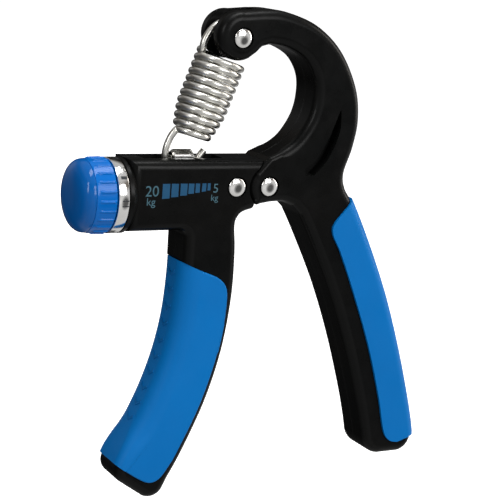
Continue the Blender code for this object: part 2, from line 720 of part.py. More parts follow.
def slider(parent, anchor_paint, nut_paint):
    """Nut on the screw with two cheeks, and the hexagon barrel that rests on them."""
    x0 = SLIDER_X - NUT_HALF
    x1 = SLIDER_X + NUT_HALF
    nut = add("nut", box("nut", (x0, -4.9, AXIS_Z - 5.6), (x1, 4.9, 1.4)))
    boolean(nut, box("cheeks", (x0 + 1.0, -3.4, 0.5), (x1 - 1.0, 3.4, 5.1)), "UNION")
    boolean(nut, box("notch", (x0 - 1, -1.6, 1.4), (x1 + 1, 1.6, 9)))
    boolean(nut, bore_along_x(SCREW_R + GAP, -50, -10, 20))
    place(nut, "slider_nut", parent, nut_paint)
    flat = BARREL_HALF - BARREL_CHAMFER
    small = BARREL_R - BARREL_CHAMFER
    sides = mesh_of("barrel", [[(x, y, BARREL_Z + z) for y, z in hexagon((0, 0), r)]
                               for x, r in ((SLIDER_X - BARREL_HALF, small), (SLIDER_X - flat, BARREL_R),
                                            (SLIDER_X + flat, BARREL_R), (SLIDER_X + BARREL_HALF, small))])
    barrel = add("barrel", sides)
    boolean(barrel, bore_along_x(BARREL_BORE_R, -50, -10, 20, BARREL_Z))
    place(barrel, "anchor_barrel", parent, anchor_paint)


# ---------------------------------------------------------------- assembly

def build():
    clear_scene()
    black = material("black_plastic", (0.012, 0.013, 0.014), 0.28)
    blue_grip = material("blue_rubber", (0.004, 0.16, 0.52), 0.55)
    blue_knob = material("blue_plastic", (0.002, 0.13, 0.55), 0.18)
    chrome = material("chrome", (0.82, 0.83, 0.84), 0.12, 1.0)
    steel = material("steel", (0.55, 0.56, 0.58), 0.35, 1.0)

    frame = axis_empty("frame_origin", PIVOT_X, PIVOT_Z)
    lever = axis_empty("lever_axis", 0, 0, frame)
    knob_axis = axis_empty("knob_axis", 0, AXIS_Z, lever)
    swing = axis_empty("spring_axis", 0, 0, frame)

    frame_shell(frame, black)
    lever_shell(lever, black)
    grip("rear_grip", palm_handle(), rear_zone(), frame, blue_grip)
    grip("front_grip", finger_handle(), front_zone(), lever, blue_grip)

    hinge_link(lever, steel)
    rivet("pivot_rivet", 0, 0, frame, chrome)
    rivet("link_rivet", LINK_RIVET_X, 0, lever, chrome)
    rivet("spring_rivet", *SPRING_PIN, frame, chrome)
    for side, sign in (("near", -1), ("far", 1)):
        inside = LINK_HALF + GAP
        outside = inside + WASHER_THICK
        ring_piece("pivot_washer_" + side, RIVET_BORE_R, WASHER_R, sign * inside, sign * outside,
                   "Y", (0, 0, 0), frame, steel)
    ring_piece("spring_bush", RIVET_BORE_R, BUSH_R, -EAR_SLOT_HALF + GAP, EAR_SLOT_HALF - GAP, "Y",
               (SPRING_PIN[0], 0, SPRING_PIN[1]), frame, steel)
    spring(swing, swing, chrome)

    ring_piece("scale_ring", SPIGOT_R + GAP, RING_R, -55.1, -51.5, "X", (0, 0, AXIS_Z), lever, chrome, 48)
    ring_piece("thrust_washer", SCREW_R + GAP, 7.4, -52.8, -51.5, "X", (0, 0, AXIS_Z), lever, steel)
    ring_piece("retaining_ring", NECK_R + GAP, 4.6, -46.6, -45.9, "X", (0, 0, AXIS_Z), lever, steel)
    adjuster_screw(knob_axis, steel)
    knob(knob_axis, blue_knob, blue_knob, steel)
    slider(lever, chrome, steel)


build()
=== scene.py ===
"""Looks of the adjustable hand grip strengthener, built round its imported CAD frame.

Pieces are drawn in millimetres from the pivot's axis, like the CAD, and placed in the frame in metres.
"""

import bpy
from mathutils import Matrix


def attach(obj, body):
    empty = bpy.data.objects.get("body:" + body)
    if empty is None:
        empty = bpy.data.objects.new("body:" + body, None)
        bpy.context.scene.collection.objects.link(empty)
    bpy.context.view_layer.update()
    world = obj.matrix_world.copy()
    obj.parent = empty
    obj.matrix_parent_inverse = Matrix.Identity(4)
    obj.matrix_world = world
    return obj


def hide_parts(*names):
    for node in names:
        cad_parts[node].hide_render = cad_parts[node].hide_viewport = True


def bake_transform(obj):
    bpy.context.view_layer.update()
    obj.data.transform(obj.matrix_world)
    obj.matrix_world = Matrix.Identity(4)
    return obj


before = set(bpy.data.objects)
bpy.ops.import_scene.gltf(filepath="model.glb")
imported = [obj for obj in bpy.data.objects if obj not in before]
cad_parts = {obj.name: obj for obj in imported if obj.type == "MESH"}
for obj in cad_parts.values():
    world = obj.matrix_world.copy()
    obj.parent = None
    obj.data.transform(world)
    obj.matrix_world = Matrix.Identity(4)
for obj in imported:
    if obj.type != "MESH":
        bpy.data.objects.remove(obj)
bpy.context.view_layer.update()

import math

import bmesh
import bpy
from mathutils import Matrix, Vector

MM = 0.001
PIVOT = Vector((-0.443, 0.0, 104.899))

# Shells: X runs from the knob to the palm, Y across the tool, Z up.
BODY_HALF = 8.5
SEAM_HALF = 0.02
SEAM_BEVEL = 0.16
EDGE_ROUND = 3.2
BOSS_R = 7.0
SOCKET_R = 7.45
EAR = (-13.8, 48.9)
EAR_R = 8.0
EAR_SLOT_HALF = 3.3
HOUSING_TOP = 9.0
HOUSING_BOTTOM = -14.1
HOUSING_LEFT = -49.4
CRESCENT_DEPTH = 4.2

# Rivets and the hinge link.
SPRING_PIN = (-13.66, 48.27)
LINK_RIVET = (-11.96, 0.0)
LINK_HALF = 1.5
LINK_END_R = 4.2
RIVET_BORE_R = 2.7
RIVET_SEAT_R = 3.6
RIVET_SEAT_DEPTH = 0.9
RIVET_HEAD_R = 3.1
RIVET_DOME = 0.9

# Soft grips: how far they stand out, how deep they lie, and the rooms left round pieces.
PROUD = 0.8
RECESS = 1.0
GAP = 0.3
GRIP_GAP = 0.12
FINGER_ROUND = 2.9
MARK_SPACING = 5.4

# Screw axis, scale ring and knob.
AXIS_Z = -3.3
SCREW_AXIS = (0, 0, AXIS_Z)
RING_R = 12.2
FLANGE_LEFT = -51.2
SPIGOT_R = 9.3
SPIGOT_BORE_R = 8.2
JOURNAL_R = 3.3
KNOB_RIGHT = -55.5
KNOB_RIM = -62.3
KNOB_R = 12.0
DRIVE_HEX_R = 3.7
RIB_COUNT = 24
RIB_HEIGHT = 0.42
DOME_R = 11.77
DOME_DEPTH = 4.92

# Spring and its anchor.
COIL_TOP = Vector((-16.8, 0.0, 41.4))
COIL_BOTTOM = Vector((-25.95, 0.0, 16.1))
COIL_TURNS = 11
COIL_R = 7.33
COIL_END_R = 5.3
TAPER_TURNS = 4
WIRE_R = 1.15
TURN_STEPS = 48
ANCHOR_Z = 8.3
ANCHOR_R = 3.2
ANCHOR_END_R = 2.65

# Cutters reach FAR to clear the tool, or PAST_SEAM to open a shell from its inner side.
FAR = 20.0
PAST_SEAM = 5.0


# ---------------------------------------------------------------- outlines

def arc(centre, radius, start, end, steps):
    points = []
    for i in range(steps + 1):
        angle = math.radians(start + (end - start) * i / steps)
        points.append((centre[0] + radius * math.cos(angle), centre[1] + radius * math.sin(angle)))
    return points


def smooth(points, steps=6):
    """A Catmull-Rom curve through points of any dimension."""
    ends = [points[0], *points, points[-1]]
    curve = []
    for a, b, c, d in zip(ends, ends[1:], ends[2:], ends[3:]):
        for i in range(steps):
            t = i / steps
            curve.append(tuple(
                0.5 * (2 * b[k] + (c[k] - a[k]) * t + (2 * a[k] - 5 * b[k] + 4 * c[k] - d[k]) * t * t
                       + (3 * b[k] - a[k] - 3 * c[k] + d[k]) * t ** 3)
                for k in range(len(b))))
    curve.append(points[-1])
    return curve


def inset(outline, distance):
    moved = []
    count = len(outline)
    for i in range(count):
        before = Vector(outline[i]) - Vector(outline[i - 1])
        after = Vector(outline[(i + 1) % count]) - Vector(outline[i])
        before.normalize()
        after.normalize()
        inward = Vector((-before.y - after.y, before.x + after.x))
        inward.normalize()
        lean = max(0.5, inward.dot(Vector((-before.y, before.x))))
        step = distance[i] if isinstance(distance, list) else distance
        point = Vector(outline[i]) + inward * (step / lean)
        moved.append((point.x, point.y))
    return moved


def rounding_at(outline, most):
    """The edge rounding that each point of the outline has room for, less at a tight corner."""
    count = len(outline)
    rounds = list(most) if isinstance(most, list) else [most] * count
    for _ in range(80):
        loop = inset(outline, rounds)
        tight = []
        for i in range(count):
            edge = Vector(outline[i]) - Vector(outline[i - 1])
            moved = Vector(loop[i]) - Vector(loop[i - 1])
            if moved.dot(edge) < 0.2 * edge.length_squared:
                tight.append(i)
        if not tight:
            break
        for i in tight:
            for j in range(i - 5, i + 5):
                rounds[j % count] *= 0.95
    for _ in range(3):
        means = [(rounds[i - 1] + rounds[i] + rounds[(i + 1) % count]) / 3 for i in range(count)]
        rounds = [min(own, mean) for own, mean in zip(rounds, means)]
    return rounds


FRAME_INNER_HANDLE = [(13.4, -9.5), (18.5, -18.4), (28.0, -36.8), (36.1, -56.3), (43.0, -76.6),
                      (46.4, -88.6)]
FRAME_FOOT = arc((54.9, -90.9), 7.8, 190, 262, 12) + arc((61.6, -92.4), 6.3, -82, 12, 16)
FRAME_OUTER_HANDLE = [(67.0, -87.6), (64.8, -79.7), (60.5, -66.0), (55.8, -52.6), (50.7, -39.6),
                      (44.9, -27.0), (38.7, -14.8), (33.6, -5.6)]
FRAME_BACK = [(30.5, -0.9), (29.6, 4.2), (32.2, 12.6), (33.5, 22.4), (31.4, 33.4), (24.4, 45.3),
              (14.4, 53.3), (2.0, 57.3), (-6.5, 57.5)]
FRAME_CROTCH = [(-5.3, -4.5), (-4.6, -5.7), (-3.3, -6.1), (-1.0, -5.9), (2.5, -5.4), (7.0, -5.5),
                (10.6, -6.9)]
HOOK_INNER = [(-3.0, 46.4), (3.6, 45.5), (10.6, 42.0), (14.7, 36.1), (15.5, 29.5), (14.0, 22.5),
              (9.6, 15.8), (4.0, 11.8), (-0.5, 9.75)]
LEVER_FRONT = [(-28.9, -17.2), (-28.9, -30.0), (-29.9, -43.8), (-32.3, -56.2), (-36.0, -67.7),
               (-40.9, -78.7), (-46.9, -89.4)]
LEVER_FOOT = arc((-43.6, -94.4), 5.1, 162, 228, 10) + arc((-35.8, -99.7), 5.2, 232, 330, 16)
LEVER_BACK = [(-29.6, -98.8), (-24.6, -89.5), (-17.4, -73.0), (-12.4, -55.6), (-10.0, -37.6),
              (-9.9, -22.3), (-10.7, -13.3), (-10.0, -10.3), (-8.0, -8.5), (-3.0, -7.2)]
GRIP_EDGE_REAR = [(33.3, -4.6), (28.6, -9.7), (25.8, -13.4), (25.8, -16.9), (29.6, -23.6),
                  (36.5, -38.5), (44.2, -57.0), (50.5, -75.9), (54.1, -89.3), (57.1, -93.4),
                  (60.6, -94.3), (66.5, -92.5)]
GRIP_EDGE_FRONT = [(-32.0, -23.6), (-28.4, -24.9), (-23.5, -27.1), (-16.6, -30.0), (-13.5, -33.4),
                   (-12.9, -38.5), (-13.5, -47.0), (-15.8, -58.9), (-20.6, -74.0), (-27.4, -88.6),
                   (-31.2, -95.1), (-34.0, -98.2), (-37.4, -99.0), (-41.4, -97.2), (-47.8, -92.9),
                   (-52.0, -90.0)]
UNDER_EAR = [(-7.3, 43.9), (-6.4, 44.9), (-5.5, 45.7)]
CRESCENT_OUTER = [(25.3, 26.6), (25.6, 18.4), (21.9, 9.2), (17.0, 3.6)]
CRESCENT_INNER = [(13.6, 3.2), (13.2, 6.0), (17.2, 9.2), (21.6, 17.2)]


def frame_outline():
    outline = smooth(FRAME_CROTCH) + smooth(FRAME_INNER_HANDLE) + FRAME_FOOT
    outline += smooth(FRAME_OUTER_HANDLE + FRAME_BACK)
    outline += arc(EAR, EAR_R, 84, 296, 44) + UNDER_EAR + smooth(HOOK_INNER)
    return outline + arc((0, 0), BOSS_R, 128, 214, 24)


def palm_handle():
    """The part of the frame that the rear grip covers, as an outline of its own."""
    outer = smooth(FRAME_OUTER_HANDLE + FRAME_BACK[:3])
    return smooth(FRAME_INNER_HANDLE) + FRAME_FOOT + outer + [(12.0, 9.0)]


def lever_outline():
    outline = [(3.0, HOUSING_TOP), (-14.0, HOUSING_TOP), (-30.0, HOUSING_TOP)]
    outline += [(HOUSING_LEFT, HOUSING_TOP), (HOUSING_LEFT, AXIS_Z), (HOUSING_LEFT, HOUSING_BOTTOM)]
    outline += [(-40.0, HOUSING_BOTTOM)]
    outline += arc((-31.4, -16.6), 2.5, 90, 12, 10)
    outline += smooth(LEVER_FRONT) + LEVER_FOOT + smooth(LEVER_BACK)
    return outline + [(3.0, -5.0), (6.0, 0.0), (6.0, 5.0)]


def socket_outline():
    """What is cut from the lever so that the frame's boss can turn in it."""
    return arc((0, 0), SOCKET_R, 128, 226, 30) + [(-5.0, -12.0), (20.0, -12.0), (20.0, 20.0), (7.0, 20.0)]


def finger_handle():
    """The part of the lever that the front grip wraps, as an outline of its own."""
    return [(-28.9, -9.0)] + smooth(LEVER_FRONT) + LEVER_FOOT + smooth(LEVER_BACK[:7]) + [(-10.9, -9.0)]


def rear_zone():
    """Everything on the palm side of the rear grip's edge."""
    return smooth(GRIP_EDGE_REAR[:-1]) + [GRIP_EDGE_REAR[-1], (76.0, -92.5), (76.0, -60.0), (44.0, -3.0)]


def front_zone():
    """Everything on the finger side of the front grip's edge."""
    return ([(-60.0, -86.0), GRIP_EDGE_FRONT[-1]] + smooth(GRIP_EDGE_FRONT[1:-1])[::-1]
            + [GRIP_EDGE_FRONT[0], (-60.0, -23.6)])


# ---------------------------------------------------------------- meshes

def place_in_frame(mesh):
    mesh.transform(Matrix.Scale(MM, 4) @ Matrix.Translation(PIVOT))


def add(name, mesh, body=None, paint=None):
    """A piece for a mesh in millimetres from the pivot. With no body it is a helper for a Boolean."""
    place_in_frame(mesh)
    obj = bpy.data.objects.new(name, mesh)
    bpy.context.scene.collection.objects.link(obj)
    if paint:
        finish(obj, name, body, paint)
    return obj


def finish(obj, name, body, paint, sharp=32):
    obj.name = name
    obj.data.name = name
    obj.data.materials.clear()
    obj.data.materials.append(paint)
    obj.data.shade_smooth()
    obj.data.set_sharp_from_angle(angle=math.radians(sharp))
    if body:
        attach(obj, body)


def mesh_from(bm, name):
    bmesh.ops.recalc_face_normals(bm, faces=bm.faces)
    mesh = bpy.data.meshes.new(name)
    bm.to_mesh(mesh)
    bm.free()
    return mesh


def skin(bm, rings):
    """A closed skin over rings of points, capped at both ends."""
    rows = [[bm.verts.new(point) for point in ring] for ring in rings]
    count = len(rows[0])
    for low, high in zip(rows, rows[1:]):
        for i in range(count):
            j = (i + 1) % count
            bm.faces.new((low[i], low[j], high[j], high[i]))
    bm.faces.new(rows[0][::-1])
    bm.faces.new(rows[-1])


def mesh_of(name, rings):
    bm = bmesh.new()
    skin(bm, rings)
    return mesh_from(bm, name)


def prism(name, outline, y_from, y_to):
    return mesh_of(name, [[(x, y, z) for x, z in outline] for y in (y_from, y_to)])


def rounded_edge(outline, y_outer, side, rounding, steps):
    """Rings that round an outline over towards its outer side."""
    rounds = rounding_at(outline, rounding)
    rings = []
    for i in range(steps + 1):
        angle = math.pi / 2 * i / steps
        loop = inset(outline, [r * (1 - math.cos(angle)) for r in rounds])
        drops = [side * r * (1 - math.sin(angle)) for r in rounds]
        rings.append([(x, y_outer - drop, z) for (x, z), drop in zip(loop, drops)])
    return rings


def rounded_slab(name, outline, y_flat, y_outer, rounding, steps=8, bevel=0.0):
    """The outline extruded from a flat side, with a fine bevel there if wanted, to a rounded outer side."""
    side = math.copysign(1.0, y_outer - y_flat)
    rings = [[(x, y_flat, z) for x, z in outline]]
    if bevel:
        rings = [[(x, y_flat, z) for x, z in inset(outline, bevel)],
                 [(x, y_flat + side * bevel, z) for x, z in outline]]
    return mesh_of(name, rings + rounded_edge(outline, y_outer, side, rounding, steps))


def two_sided_slab(name, outline, half, rounding, steps=8):
    near = rounded_edge(outline, -half, -1.0, rounding, steps)
    far = rounded_edge(outline, half, 1.0, rounding, steps)
    return mesh_of(name, near[::-1] + far)


def on_axis(axis, centre, radius, along, angle):
    a = radius * math.cos(angle)
    b = radius * math.sin(angle)
    if axis == "X":
        return centre[0] + along, centre[1] + a, centre[2] + b
    return centre[0] + a, centre[1] + along, centre[2] + b


def lathe(name, profile, segments, axis, centre=(0.0, 0.0, 0.0), swell=None):
    """A profile of (radius, place along the axis) turned round the axis, joined up if it has no poles."""
    bm = bmesh.new()
    rows = []
    for radius, along in profile:
        if radius == 0:
            rows.append([bm.verts.new(on_axis(axis, centre, 0, along, 0))])
            continue
        row = []
        for i in range(segments):
            angle = 2 * math.pi * i / segments
            wide = swell(radius, along, angle) if swell else radius
            row.append(bm.verts.new(on_axis(axis, centre, wide, along, angle)))
        rows.append(row)
    whole = profile[0][0] != 0
    for first, second in list(zip(rows, rows[1:])) + ([(rows[-1], rows[0])] if whole else []):
        for i in range(segments):
            j = (i + 1) % segments
            if len(first) == 1:
                bm.faces.new((first[0], second[i], second[j]))
            elif len(second) == 1:
                bm.faces.new((first[i], first[j], second[0]))
            else:
                bm.faces.new((first[i], first[j], second[j], second[i]))
    return mesh_from(bm, name)


def box(name, low, high):
    corners = [(low[0], low[2]), (high[0], low[2]), (high[0], high[2]), (low[0], high[2])]
    return prism(name, corners, low[1], high[1])


def boolean(obj, mesh, operation="DIFFERENCE"):
    tool = add("tool", mesh)
    modifier = obj.modifiers.new("boolean", "BOOLEAN")
    modifier.operation = operation
    modifier.solver = "EXACT"
    modifier.object = tool
    bpy.context.view_layer.update()
    evaluated = obj.evaluated_get(bpy.context.evaluated_depsgraph_get())
    result = bpy.data.meshes.new_from_object(evaluated)
    obj.modifiers.clear()
    bm = bmesh.new()
    bm.from_mesh(result)
    bmesh.ops.remove_doubles(bm, verts=bm.verts, dist=1e-6)
    bmesh.ops.dissolve_degenerate(bm, edges=bm.edges, dist=1e-6)
    bm.to_mesh(result)
    bm.free()
    obj.data = result
    bpy.data.objects.remove(tool)
    bpy.data.meshes.remove(mesh)


def back_to_mm(obj):
    """The helper's mesh in millimetres from the pivot, and the helper gone."""
    mesh = obj.data.copy()
    mesh.transform(Matrix.Translation(-PIVOT) @ Matrix.Scale(1 / MM, 4))
    bpy.data.objects.remove(obj)
    return mesh


def mirrored(obj):
    mesh = obj.data.copy()
    mesh.transform(Matrix.Scale(-1, 4, Vector((0, 1, 0))))
    mesh.flip_normals()
    other = bpy.data.objects.new("mirrored", mesh)
    bpy.context.scene.collection.objects.link(other)
    return other


def keep_flats_flat(obj):
    normals = obj.modifiers.new("normals", "WEIGHTED_NORMAL")
    normals.keep_sharp = True


def edge_bevel(obj, width=0.22, angle=40):
    """Softens the edges that cuts leave, and keeps the flat sides flat."""
    bevel = obj.modifiers.new("edge", "BEVEL")
    bevel.width = width * MM
    bevel.segments = 2
    bevel.limit_method = "ANGLE"
    bevel.angle_limit = math.radians(angle)
    bevel.use_clamp_overlap = True
    keep_flats_flat(obj)


# ---------------------------------------------------------------- materials

def new_material(name):
    made = bpy.data.materials.new(name)
    made.use_nodes = True
    tree = made.node_tree
    return made, tree, tree.nodes["Principled BSDF"]


def noise(tree, scale, detail=4.0, stretch=(1.0, 1.0, 1.0), rough=0.5):
    coords = tree.nodes.new("ShaderNodeTexCoord")
    mapping = tree.nodes.new("ShaderNodeMapping")
    mapping.inputs["Scale"].default_value = stretch
    node = tree.nodes.new("ShaderNodeTexNoise")
    node.inputs["Scale"].default_value = scale
    node.inputs["Detail"].default_value = detail
    node.inputs["Roughness"].default_value = rough
    tree.links.new(coords.outputs["Object"], mapping.inputs["Vector"])
    tree.links.new(mapping.outputs["Vector"], node.inputs["Vector"])
    return node.outputs["Fac"]


def spread(tree, value, low, high, start=0.3, end=0.7):
    node = tree.nodes.new("ShaderNodeMapRange")
    node.inputs["From Min"].default_value = start
    node.inputs["From Max"].default_value = end
    node.inputs["To Min"].default_value = low
    node.inputs["To Max"].default_value = high
    tree.links.new(value, node.inputs["Value"])
    return node.outputs["Result"]


def colours(tree, factor, first, second):
    node = tree.nodes.new("ShaderNodeMix")
    node.data_type = "RGBA"
    node.inputs["A"].default_value = (*first, 1.0)
    node.inputs["B"].default_value = (*second, 1.0)
    tree.links.new(factor, node.inputs["Factor"])
    return node


def finish_material(name, colour, other, rough, metallic=0.0, coat=0.0, patch=60.0, grain=2600.0,
                    depth=0.012, stretch=(1.0, 1.0, 1.0), shine=0.5):
    """Two close colours in soft patches, uneven gloss and a fine grain."""
    made, tree, shader = new_material(name)
    base = colours(tree, spread(tree, noise(tree, patch, 5.0, stretch), 0.0, 1.0), colour, other)
    tree.links.new(base.outputs["Result"], shader.inputs["Base Color"])
    gloss = spread(tree, noise(tree, patch * 3.1, 6.0, stretch), rough[0], rough[1])
    tree.links.new(gloss, shader.inputs["Roughness"])
    shader.inputs["Metallic"].default_value = metallic
    shader.inputs["Coat Weight"].default_value = coat
    shader.inputs["Coat Roughness"].default_value = 0.08
    shader.inputs["Specular IOR Level"].default_value = shine
    bump = tree.nodes.new("ShaderNodeBump")
    bump.inputs["Strength"].default_value = 0.6
    bump.inputs["Distance"].default_value = depth * MM
    tree.links.new(noise(tree, grain, 3.0, stretch), bump.inputs["Height"])
    tree.links.new(bump.outputs["Normal"], shader.inputs["Normal"])
    return made


BLACK = finish_material("black_plastic", (0.0032, 0.0035, 0.0035), (0.0047, 0.0046, 0.0044), (0.24, 0.34),
                        grain=3200.0, depth=0.010, shine=0.10)
BLUE_GRIP = finish_material("blue_rubber", (0.0, 0.139, 0.434), (0.0, 0.152, 0.470), (0.40, 0.54),
                            patch=35.0, grain=4200.0, depth=0.03, shine=0.13)
BLUE_MARKS = finish_material("grip_marks", (0.0, 0.112, 0.352), (0.0, 0.122, 0.380), (0.40, 0.54),
                             patch=35.0, grain=4200.0, depth=0.03, shine=0.11)
# The knob cap's blue is darker than the ribbed wall's blue: painted shade on the dome.
BLUE_CAP_PAINTED_SHADE = finish_material("blue_plastic", (0.0, 0.092, 0.350), (0.0, 0.106, 0.392), (0.07, 0.12),
                            coat=0.05, patch=40.0, grain=900.0, depth=0.006, shine=0.24)
BLUE_RIBS = finish_material("blue_ribs", (0.0, 0.122, 0.470), (0.0, 0.136, 0.510), (0.09, 0.15),
                            coat=0.05, patch=40.0, grain=900.0, depth=0.006, shine=0.19)
CHROME = finish_material("chrome", (0.80, 0.79, 0.77), (0.88, 0.87, 0.85), (0.07, 0.16), 1.0,
                         patch=180.0, grain=700.0, depth=0.02)
WIRE = finish_material("drawn_wire", (0.64, 0.63, 0.59), (0.74, 0.73, 0.69), (0.25, 0.33), 1.0,
                       patch=90.0, grain=2600.0, depth=0.0015)
STEEL = finish_material("plain_steel", (0.42, 0.42, 0.42), (0.55, 0.55, 0.54), (0.28, 0.42), 1.0,
                        patch=120.0, grain=2400.0, depth=0.015, stretch=(1.0, 6.0, 1.0))
INK = {"patch": 300.0, "grain": 5000.0, "depth": 0.005}
INK_BLUE = finish_material("printed_bars", (0.013, 0.070, 0.150), (0.017, 0.082, 0.172), (0.35, 0.5),
                           shine=0.15, **INK)
INK_TEXT = finish_material("printed_figures", (0.056, 0.128, 0.165), (0.066, 0.143, 0.180), (0.35, 0.5),
                           shine=0.15, **INK)
# Black ink for the ring's ticks, also used to paint a dark reflection on the ring.
INK_BLACK_AND_PAINTED_REFLECTION = finish_material("ring_ticks_and_painted_reflection", (0.010, 0.012, 0.016), (0.015, 0.018, 0.024), (0.3, 0.5), **INK)


# ---------------------------------------------------------------- shells

def cut_grip_recess(shell, handle, zone):
    """Lowers the shell where a soft grip covers it."""
    ring = add("ring", prism("ring", zone, -FAR, FAR))
    core = rounded_slab("core", inset(handle, RECESS), PAST_SEAM, -BODY_HALF + RECESS - GAP, EDGE_ROUND)
    boolean(ring, core)
    boolean(shell, back_to_mm(ring))


def cut_rivet_seat(shell, x, z):
    floor = -BODY_HALF + RIVET_SEAT_DEPTH
    bore = [(0, -FAR), (RIVET_BORE_R, -FAR), (RIVET_BORE_R, PAST_SEAM), (0, PAST_SEAM)]
    seat = [(0, -FAR), (RIVET_SEAT_R + 0.15, -FAR), (RIVET_SEAT_R, floor), (0, floor)]
    boolean(shell, lathe("bore", bore, 40, "Y", (x, 0, z)))
    boolean(shell, lathe("seat", seat, 56, "Y", (x, 0, z)))


def cut_crescent(shell):
    """The crescent dent in the side of the hook. Its walls lean in a little."""
    crescent = (smooth(CRESCENT_OUTER, 8) + smooth(CRESCENT_INNER, 8))[::-1]
    slope = [(-FAR, 0.2), (-BODY_HALF - 0.1, 0.2), (-BODY_HALF + 0.4, 0.1),
             (-BODY_HALF + CRESCENT_DEPTH, 0.35)]
    boolean(shell, mesh_of("crescent", [[(x, y, z) for x, z in inset(crescent, step)] for y, step in slope]))


def half_shell(outline):
    """One half of the body, flat at the seam with a fine groove there, rounded on its outer side."""
    return add("shell", rounded_slab("shell", outline, -SEAM_HALF, -BODY_HALF, EDGE_ROUND, 8, SEAM_BEVEL))


def both_halves(shell, name, body):
    """The near half as built, and its mirror image."""
    far = mirrored(shell)
    for obj, side in ((shell, "near"), (far, "far")):
        finish(obj, f"{name}_{side}_look", body, BLACK)
        edge_bevel(obj)
        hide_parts(f"{name}_{side}")


def frame_shell():
    shell = half_shell(frame_outline())
    cut_grip_recess(shell, palm_handle(), rear_zone())
    ear_slot = [(-25, 37), (-6.6, 37), (-6.6, 62), (-25, 62)]
    boolean(shell, prism("ear_slot", ear_slot, PAST_SEAM, -EAR_SLOT_HALF))
    reach = LINK_END_R + 0.5
    room = [(-12, -12), (-1, -12)] + arc((0, 0), reach, -80, 100, 24) + [(-12, reach)]
    boolean(shell, prism("link_room", room, PAST_SEAM, -LINK_HALF - 0.4))
    floor = -LINK_HALF - 1.6
    washer = [(0, PAST_SEAM), (4.6, PAST_SEAM), (4.6, floor), (0, floor)]
    boolean(shell, lathe("washer", washer, 40, "Y"))
    cut_crescent(shell)
    cut_rivet_seat(shell, 0, 0)
    cut_rivet_seat(shell, *SPRING_PIN)
    both_halves(shell, "frame_half", "rear_frame")


def half_turned(profile):
    """The near half of a profile turned round the screw's axis."""
    whole = add("turned", lathe("turned", profile, 96, "X", SCREW_AXIS))
    boolean(whole, box("keep", (-70, -FAR, -30), (0, -SEAM_HALF, 30)), "INTERSECT")
    return back_to_mm(whole)


def lever_shell():
    shell = half_shell(lever_outline())
    boolean(shell, prism("socket", socket_outline(), -FAR, PAST_SEAM))
    flare = [(0, FLANGE_LEFT), (RING_R - 0.2, FLANGE_LEFT), (RING_R, FLANGE_LEFT + 0.2),
             (RING_R, FLANGE_LEFT + 1.3), (RING_R - 0.3, FLANGE_LEFT + 1.7), (11.0, -48.6), (9.4, -47.4),
             (8.2, -46.6), (0, -46.6)]
    spigot = [(0, -54.6), (SPIGOT_R, -54.6), (SPIGOT_R, -50.0), (0, -50.0)]
    hollow = [(0, -60), (SPIGOT_BORE_R, -60), (SPIGOT_BORE_R, -51.0), (0, -51.0)]
    journal = [(0, -60), (JOURNAL_R, -60), (JOURNAL_R, -40), (0, -40)]
    boolean(shell, half_turned(flare), "UNION")
    boolean(shell, half_turned(spigot), "UNION")
    boolean(shell, lathe("hollow", hollow, 48, "X", SCREW_AXIS))
    boolean(shell, lathe("journal", journal, 32, "X", SCREW_AXIS))
    cut_grip_recess(shell, finger_handle(), front_zone())
    boolean(shell, box("channel", (-47.2, -5.5, -10.6), (-18.7, PAST_SEAM, 6.2)))
    boolean(shell, box("slot", (-43.6, -3.8, 5), (-15.6, PAST_SEAM, 20)))
    boolean(shell, box("foot_room", (-20, -LINK_HALF - GAP, 2.1), (-17.2, PAST_SEAM, 6.2)))
    reach = LINK_END_R + GAP
    room = arc(LINK_RIVET, reach, 90, 270, 24) + [(5, -reach), (5, reach)]
    boolean(shell, prism("link_room", room, PAST_SEAM, -LINK_HALF - GAP))
    cut_rivet_seat(shell, *LINK_RIVET)
    both_halves(shell, "lever_half", "lever")


def finger_side_rounds(outline):
    """A broad round where the fingers close on the front grip, and the usual one elsewhere."""
    rounds = []
    for x, z in outline:
        middle = -19.0 - 0.30 * max(0.0, -z - 45.0) ** 1.08
        share = min(1.0, max(0.0, (middle - x) / 7.0))
        rounds.append(EDGE_ROUND + PROUD + FINGER_ROUND * share * share * (3 - 2 * share))
    return rounds


def soften_rim(mesh, width):
    """Rounds the grip's cut edges on its two flat sides."""
    flat_side = (BODY_HALF + PROUD - 0.05) * MM
    bm = bmesh.new()
    bm.from_mesh(mesh)
    bm.normal_update()
    rim = [edge for edge in bm.edges if len(edge.link_faces) == 2 and edge.calc_face_angle() > 0.9
           and all(abs(vert.co.y) > flat_side for vert in edge.verts)]
    bmesh.ops.bevel(bm, geom=rim, offset=width * MM, segments=3, profile=0.5, affect="EDGES",
                    clamp_overlap=False)
    bm.to_mesh(mesh)
    bm.free()


def grip(name, outline, zone, body):
    """A soft cover round the handle: everything between its own skin and the recess, inside the zone."""
    at_fingers = name == "front_grip"
    envelope = inset(outline, -PROUD)
    rounds = finger_side_rounds(envelope) if at_fingers else EDGE_ROUND + PROUD
    cover = add("cover", two_sided_slab("cover", envelope, BODY_HALF + PROUD, rounds, 12))
    boolean(cover, prism("zone", inset(zone, GRIP_GAP), -FAR, FAR), "INTERSECT")
    core = two_sided_slab("core", inset(outline, RECESS - GAP), BODY_HALF - RECESS + 2 * GAP, EDGE_ROUND)
    boolean(cover, core)
    if at_fingers:
        soften_rim(cover.data, 0.45)
    finish(cover, name + "_look", body, BLUE_GRIP)
    if at_fingers:
        keep_flats_flat(cover)
    else:
        edge_bevel(cover, 0.4, 45)
    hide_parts(name)


